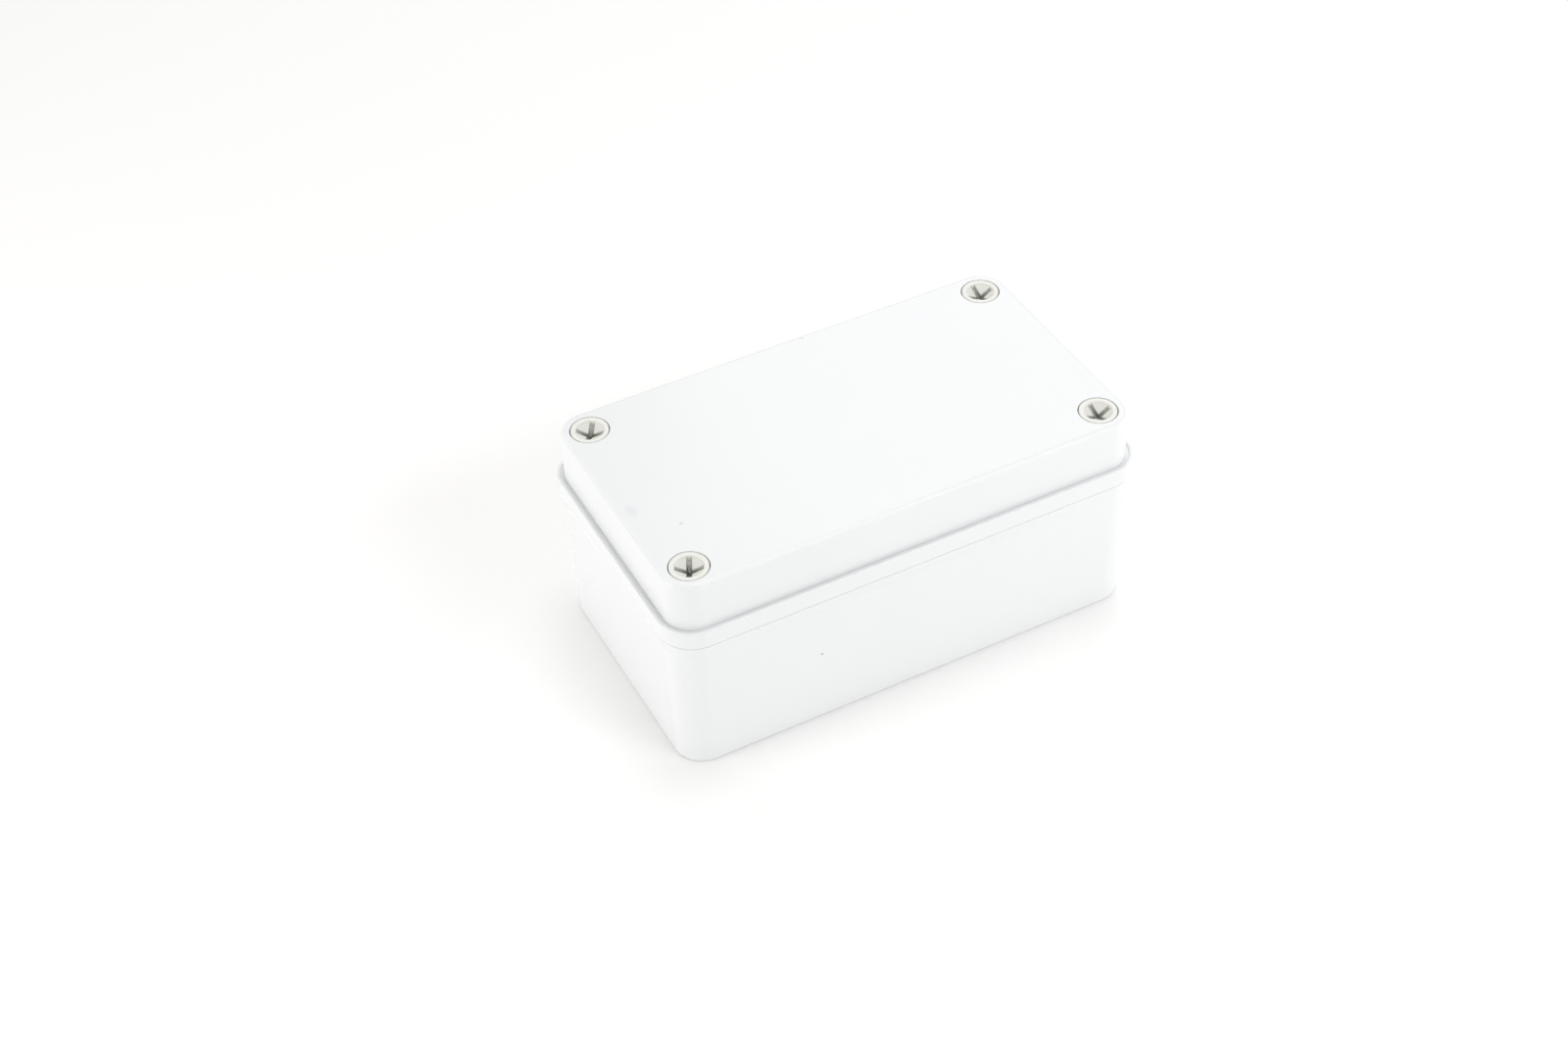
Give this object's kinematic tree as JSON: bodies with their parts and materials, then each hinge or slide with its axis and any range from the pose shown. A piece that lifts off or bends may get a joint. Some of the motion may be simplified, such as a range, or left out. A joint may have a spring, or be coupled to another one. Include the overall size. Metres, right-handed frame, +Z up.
{
  "type": "plastic junction box",
  "caption": "Rectangular moulded junction box with a skirted lift-off lid, a collared deep base, a sealing gasket and flush cross-slot screws at the corners.",
  "frame": {"origin": "middle of the underside of the base", "axes": "+X along the length, +Y towards the rear long side, +Z up through the lid"},
  "size_m": [0.175, 0.1, 0.079],
  "materials": {
    "box_plastic": "satin white moulded ABS",
    "gasket_rubber": "soft grey rubber",
    "screw_plastic": "satin cream moulded nylon"
  },
  "bodies": {
    "base": {"base": "box_plastic"},
    "lid": {"lid": "box_plastic", "lid_gasket": "gasket_rubber"},
    "screw_front_left": {"lid_screw_front_left": "screw_plastic"},
    "screw_front_right": {"lid_screw_front_right": "screw_plastic"},
    "screw_rear_left": {"lid_screw_rear_left": "screw_plastic"},
    "screw_rear_right": {"lid_screw_rear_right": "screw_plastic"}
  },
  "joints": [
    {"name": "lid_lift", "type": "slide", "parent": "base", "child": "lid", "axis": [0, 0, 1], "range_m": [0, 0.06]},
    {"name": "screw_front_left_turn", "type": "hinge", "parent": "lid", "child": "screw_front_left", "pos_m": [-0.075, -0.0375, 0.0724], "axis": [0, 0, 1], "continuous": true},
    {"name": "screw_front_right_turn", "type": "hinge", "parent": "lid", "child": "screw_front_right", "pos_m": [0.075, -0.0375, 0.0724], "axis": [0, 0, 1], "continuous": true},
    {"name": "screw_rear_left_turn", "type": "hinge", "parent": "lid", "child": "screw_rear_left", "pos_m": [-0.075, 0.0375, 0.0724], "axis": [0, 0, 1], "continuous": true},
    {"name": "screw_rear_right_turn", "type": "hinge", "parent": "lid", "child": "screw_rear_right", "pos_m": [0.075, 0.0375, 0.0724], "axis": [0, 0, 1], "continuous": true}
  ]
}
